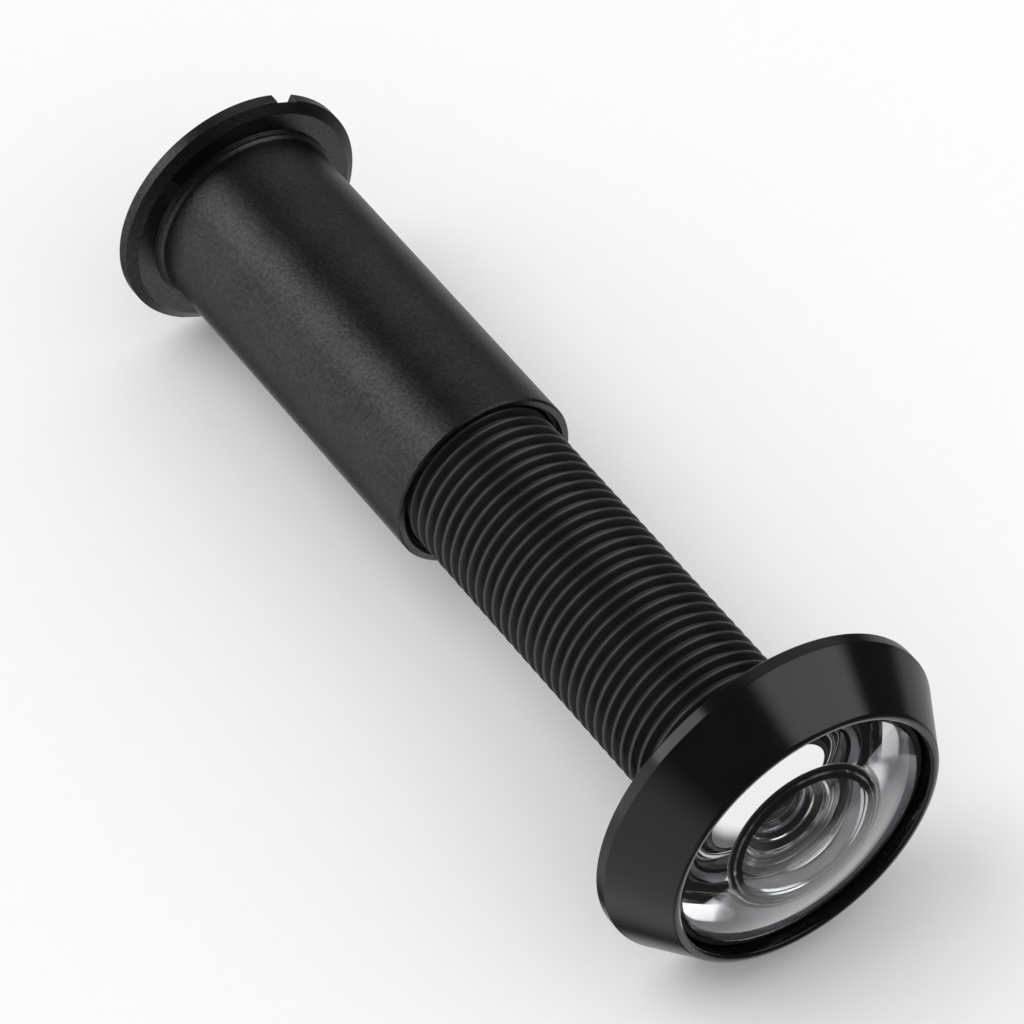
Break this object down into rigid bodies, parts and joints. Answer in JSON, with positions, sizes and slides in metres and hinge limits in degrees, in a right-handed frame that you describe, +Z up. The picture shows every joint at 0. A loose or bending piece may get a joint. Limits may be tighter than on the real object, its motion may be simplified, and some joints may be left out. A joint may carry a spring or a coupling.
{
  "type": "door viewer",
  "caption": "Screw-together door viewer: bevelled round bezel with wide-angle lens on a threaded tube, and a flanged smooth sleeve that screws over it from inside the door.",
  "frame": {"origin": "centre of the bounding box in the extended pose shown, on the optical axis", "axes": "+Y along the optical axis from the outside lens towards the eyepiece flange on the inside of the door, +Z up on an upright door, +X completes the right-handed frame"},
  "size_m": [0.026, 0.0712, 0.026],
  "materials": {
    "bezel_black": "gloss black plated and lacquered brass with fine turning lines",
    "sleeve_black": "satin black, fine blasted grain",
    "front_glass": "polished clear glass",
    "inner_glass": "polished glass with a faint violet coating",
    "seat_silver": "bright turned metal",
    "cell_silver": "turned aluminium, fine rings",
    "soft_black": "matt black rubber",
    "inside_black": "matt black anodised"
  },
  "bodies": {
    "objective": {"objective_barrel": "bezel_black", "front_lens": "front_glass", "front_lens_gasket": "soft_black", "lens_seat_ring": "seat_silver", "second_lens_cell": "cell_silver", "second_lens": "inner_glass", "lens_spacer": "inside_black", "third_lens": "front_glass", "aperture_stop": "inside_black", "objective_retaining_ring": "inside_black"},
    "eyepiece_optics": {"eyepiece_lens": "front_glass", "eyepiece_cushion_ring": "soft_black"},
    "sleeve": {"eyepiece_sleeve": "sleeve_black", "eyepiece_retaining_ring": "inside_black"}
  },
  "joints": [
    {"name": "sleeve_travel", "type": "slide", "parent": "objective", "child": "eyepiece_optics", "axis": [0, 1, 0], "range_m": [-0.025, 0.001]},
    {"name": "sleeve_screw", "type": "hinge", "parent": "eyepiece_optics", "child": "sleeve", "pos_m": [0, 0, 0], "axis": [0, 1, 0], "range_deg": [-9060, 420]}
  ],
  "couplings": [
    {"joint": "sleeve_screw", "follows": "sleeve_travel", "rad_per_m": 6283.2}
  ]
}
